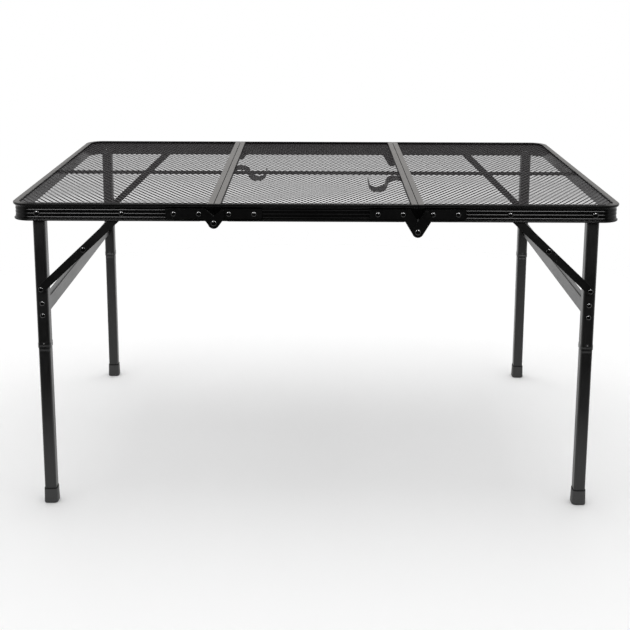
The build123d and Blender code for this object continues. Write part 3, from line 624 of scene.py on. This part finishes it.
# studio: a white room as the camera and the gloss see it, a pale floor that fades out into it,
# and black cards in front, one standing and one lying, that only the gloss sees
studio = {"light": 0.76, "floor": 0.97, "floorHalf": 3.0, "fadeFrom": 0.8, "fadeTo": 1.55, "matt": 0.9,
          "cardY": -1.55, "cardHalf": 1.7, "cardTop": 1.7, "cardNear": -0.58, "cardLift": 0.002}


def stagePiece(name, corners, shade):
    # a flat matt sheet, not part of the table
    mesh = bpy.data.meshes.new(name)
    mesh.from_pydata(corners, [], [(0, 1, 2, 3)])
    material = bpy.data.materials.new(name)
    material.use_nodes = True
    shader = material.node_tree.nodes["Principled BSDF"]
    shader.inputs["Base Color"].default_value = (shade, shade, shade, 1)
    shader.inputs["Roughness"].default_value = studio["matt"]
    shader.inputs["Specular IOR Level"].default_value = 0.0
    mesh.materials.append(material)
    sheet = bpy.data.objects.new(name, mesh)
    bpy.context.scene.collection.objects.link(sheet)
    return sheet, material


def buildStudio():
    world = bpy.context.scene.world or bpy.data.worlds.new("studio")
    bpy.context.scene.world = world
    world.use_nodes = True
    sky = Socket(world.node_tree)
    background = world.node_tree.nodes["Background"]
    background.inputs["Color"].default_value = (1, 1, 1, 1)
    rays = [sky.node("LightPath", out=f"Is {kind} Ray") for kind in ("Camera", "Glossy", "Transmission")]
    seen = sum(rays).clamp()
    sky.feed(background.inputs["Strength"], seen + (1 - seen) * studio["light"])

    half, fadeFrom = studio["floorHalf"], studio["fadeFrom"]
    square = [(-half, -half, 0), (half, -half, 0), (half, half, 0), (-half, half, 0)]
    _, paint = stagePiece("paleFloor", square, studio["floor"])
    ground = Socket(paint.node_tree)
    here = ground.node("TexCoord", out="Object")
    far = ground.node("VectorMath", {"operation": "LENGTH"}, {0: here}, out="Value")
    gone = ((far - fadeFrom) * (1 / (studio["fadeTo"] - fadeFrom))).clamp()
    pale = Socket(paint.node_tree, paint.node_tree.nodes["Principled BSDF"].outputs[0])
    mixed = ground.node("MixShader", None, {0: gone, 1: pale, 2: ground.node("BsdfTransparent")})
    ground.feed(paint.node_tree.nodes["Material Output"].inputs["Surface"], mixed)

    wide, y, high, near, lift = (studio["card" + key] for key in ("Half", "Y", "Top", "Near", "Lift"))
    upright = [(-wide, y, 0), (wide, y, 0), (wide, y, high), (-wide, y, high)]
    level = [(-wide, y, lift), (wide, y, lift), (wide, near, lift), (-wide, near, lift)]
    standing, _ = stagePiece("standingCard", upright, 0.0)
    lying, _ = stagePiece("lyingCard", level, 0.0)
    for card in (standing, lying):
        card.visible_camera = card.visible_diffuse = card.visible_transmission = False
    lying.visible_shadow = False


softBoxes = {
    "overhead": {"at": (0.0, 0.4, 2.7), "aim": (0, 0.1, 0.4), "size": (2.4, 2.4), "power": 32.0,
                 "glossOnly": False},
    "leftStrip": {"at": (-0.62, -1.45, 1.06), "aim": (-0.4, -0.3, 0.46), "size": (0.46, 0.55), "power": 19.0,
                  "glossOnly": True},
    "rightStrip": {"at": (0.58, -1.45, 1.06), "aim": (0.4, -0.3, 0.46), "size": (0.46, 0.55), "power": 19.0,
                   "glossOnly": True},
}


def buildLamps():
    for name, box in softBoxes.items():
        lamp = bpy.data.lights.new(name, "AREA")
        lamp.shape, lamp.energy = "RECTANGLE", box["power"]
        lamp.size, lamp.size_y = box["size"]
        holder = bpy.data.objects.new(name, lamp)
        turn = (Vector(box["aim"]) - Vector(box["at"])).to_track_quat("-Z", "Y")
        holder.matrix_world = Matrix.Translation(box["at"]) @ turn.to_matrix().to_4x4()
        holder.visible_camera = False
        holder.visible_diffuse = not box["glossOnly"]
        bpy.context.scene.collection.objects.link(holder)


# camera: place in millimetres, turns in radians, focal length in picture widths
shot = {"at": (1.651, -1928.97, 825.49), "down": 0.196, "aside": -0.0019, "roll": 0.0034,
        "focal": 1138.67 / 630, "shift": -0.2, "sensor": 36.0, "far": 200.0}


def buildCamera():
    down, aside, roll = shot["down"], shot["aside"], shot["roll"]
    ahead = np.array((math.sin(aside) * math.cos(down), math.cos(aside) * math.cos(down), -math.sin(down)))
    right = np.array((math.cos(aside), -math.sin(aside), 0.0))
    up = np.cross(right, ahead)
    right, up = math.cos(roll) * right + math.sin(roll) * up, math.cos(roll) * up - math.sin(roll) * right
    turned = np.eye(4)
    turned[:3, :3] = np.stack([right, up, -ahead], 1)
    turned[:3, 3] = np.array(shot["at"]) * mm
    lens = bpy.data.cameras.new("shot")
    lens.sensor_width, lens.lens = shot["sensor"], shot["sensor"] * shot["focal"]
    lens.shift_y, lens.clip_end = shot["shift"], shot["far"]
    camera = bpy.data.objects.new("shot", lens)
    camera.matrix_world = Matrix(turned.tolist())
    bpy.context.scene.collection.objects.link(camera)
    bpy.context.scene.camera = camera


buildStudio()
buildLamps()
buildCamera()
bpy.context.scene.view_settings.view_transform = "Standard"
print("studio made")

bpy.context.view_layer.update()
